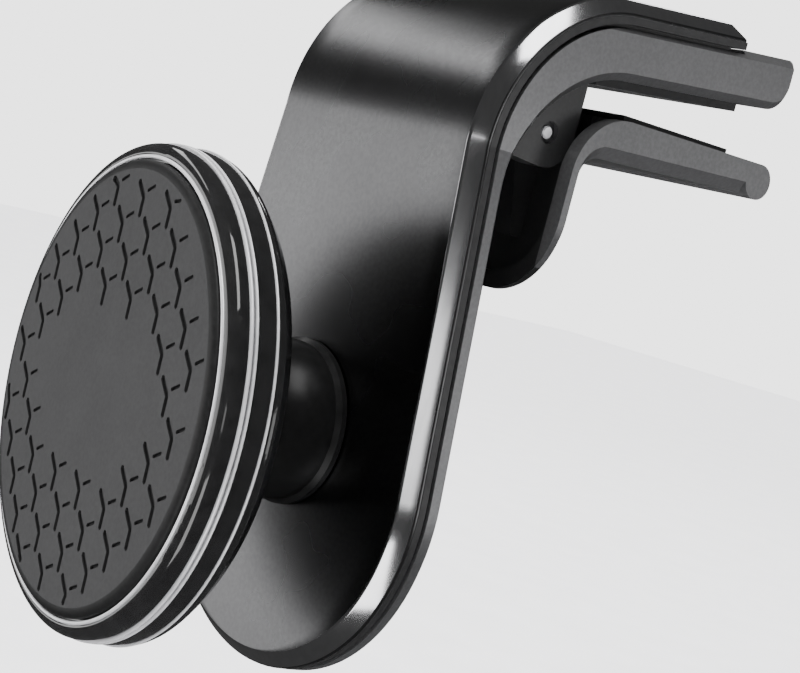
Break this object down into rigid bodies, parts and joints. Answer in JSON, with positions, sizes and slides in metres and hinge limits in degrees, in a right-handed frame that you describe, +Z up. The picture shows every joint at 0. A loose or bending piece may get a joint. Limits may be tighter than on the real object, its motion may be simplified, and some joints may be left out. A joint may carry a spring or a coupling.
{
  "type": "air vent phone mount",
  "caption": "Phone mount for a car air vent: a sprung clip on a bent arm and a round magnetic head on a lockable ball joint.",
  "frame": {"origin": "middle of the gap between the clip's jaws, where the vent slat sits", "axes": "+X across the mount, to the right for the driver; +Y into the vent; +Z up"},
  "size_m": [0.0404, 0.0555, 0.0632],
  "materials": {
    "plate_gunmetal": "satin gunmetal with a polished bevel",
    "shell_black": "satin black",
    "body_satin": "satin metallic grey paint",
    "pad_rubber": "matt black",
    "face_silicone": "matt dark grey, engraved",
    "gloss_black": "gloss black",
    "chrome_trim": "polished",
    "steel": "plain steel",
    "nickel": "nickel plated",
    "liner_nylon": "natural nylon",
    "tray_plastic": "moulded black",
    "adhesive": "double-sided sheet"
  },
  "bodies": {
    "arm": {"arm_body": "body_satin", "front_shell": "shell_black", "cover_plate": "plate_gunmetal", "plate_adhesive": "adhesive", "ball_socket": "shell_black", "socket_screws": "steel", "upper_jaw_pad": "pad_rubber", "hinge_pin": "steel", "torsion_spring": "steel"},
    "lever": {"clamp_lever": "body_satin", "lower_jaw_pad": "pad_rubber"},
    "collar": {"lock_collar": "gloss_black"},
    "tilt": {"liner_ring_rear": "liner_nylon"},
    "pan": {"liner_ring_front": "liner_nylon"},
    "head": {"ball_stud": "steel", "stud_screw": "steel", "stud_washer": "steel", "head_rear_shell": "gloss_black", "rear_trim_ring": "chrome_trim", "groove_trim_ring": "chrome_trim", "head_bezel": "gloss_black", "front_trim_ring": "chrome_trim", "face_adhesive": "adhesive", "face_pad": "face_silicone", "magnet_tray": "tray_plastic", "magnets": "nickel", "yoke_plate": "steel", "head_screws": "steel"}
  },
  "joints": [
    {"name": "lever_pivot", "type": "hinge", "parent": "arm", "child": "lever", "pos_m": [0, -0.0104, -0.0044], "axis": [-1, 0, 0], "range_deg": [0, 16], "stiffness_Nm_per_rad": 0.15, "springref_deg": -45.84, "deforming": ["torsion_spring"]},
    {"name": "collar_turn", "type": "hinge", "parent": "arm", "child": "collar", "pos_m": [0, -0.0232, -0.0331], "axis": [0, 1, 0], "range_deg": [0, 120]},
    {"name": "head_tilt", "type": "hinge", "parent": "arm", "child": "tilt", "pos_m": [0, -0.0232, -0.0331], "axis": [1, 0, 0], "range_deg": [-18, 18]},
    {"name": "head_pan", "type": "hinge", "parent": "tilt", "child": "pan", "pos_m": [0, -0.0232, -0.0331], "axis": [0, 0, 1], "range_deg": [-11.3, 24.7]},
    {"name": "head_spin", "type": "hinge", "parent": "pan", "child": "head", "pos_m": [0, -0.0232, -0.0331], "axis": [0.1162, 0.9932, 0], "continuous": true}
  ]
}
